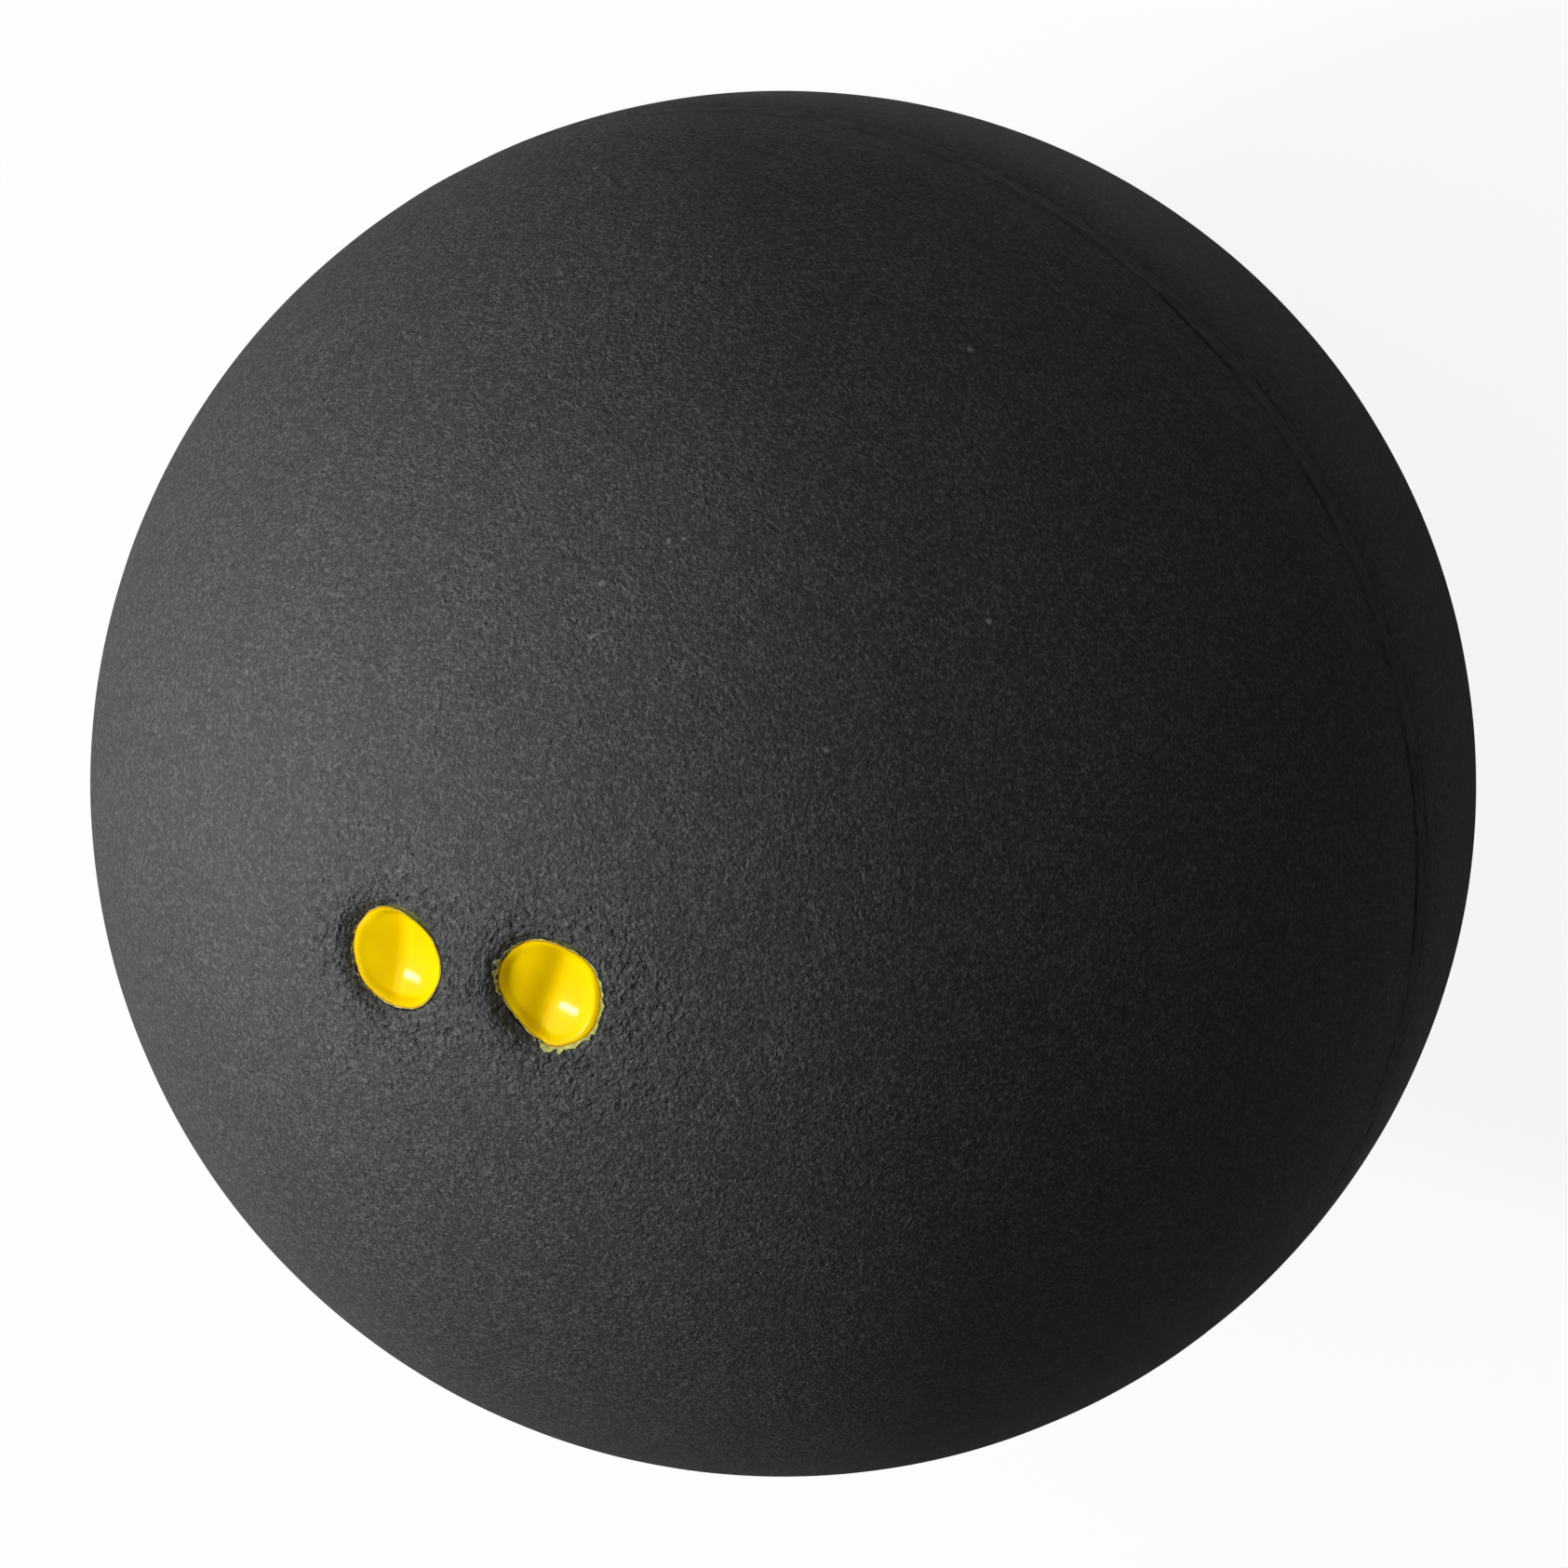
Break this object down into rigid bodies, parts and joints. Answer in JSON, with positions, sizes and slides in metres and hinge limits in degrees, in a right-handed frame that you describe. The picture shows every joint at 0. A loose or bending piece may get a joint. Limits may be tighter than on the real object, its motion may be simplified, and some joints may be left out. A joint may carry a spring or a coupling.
{
  "type": "squash ball",
  "caption": "Hollow black rubber ball made of two glued half shells, with yellow dots of paint in moulded cups beside its pole.",
  "frame": {"origin": "centre of the ball", "axes": "+Z along the mould axis, out of the pole between the dots; +X from the left dot to the right dot; the seam lies in the XY plane"},
  "size_m": [0.04, 0.04, 0.04],
  "materials": {
    "ball_rubber": "matt, buffed, fine leathery grain",
    "seam_glue": "matt, buffed flush",
    "dot_paint": "glossy enamel, dished as it dried"
  },
  "bodies": {
    "root": {"dotted_half_shell": "ball_rubber", "plain_half_shell": "ball_rubber", "seam_adhesive": "seam_glue", "left_yellow_dot": "dot_paint", "right_yellow_dot": "dot_paint"}
  },
  "joints": []
}
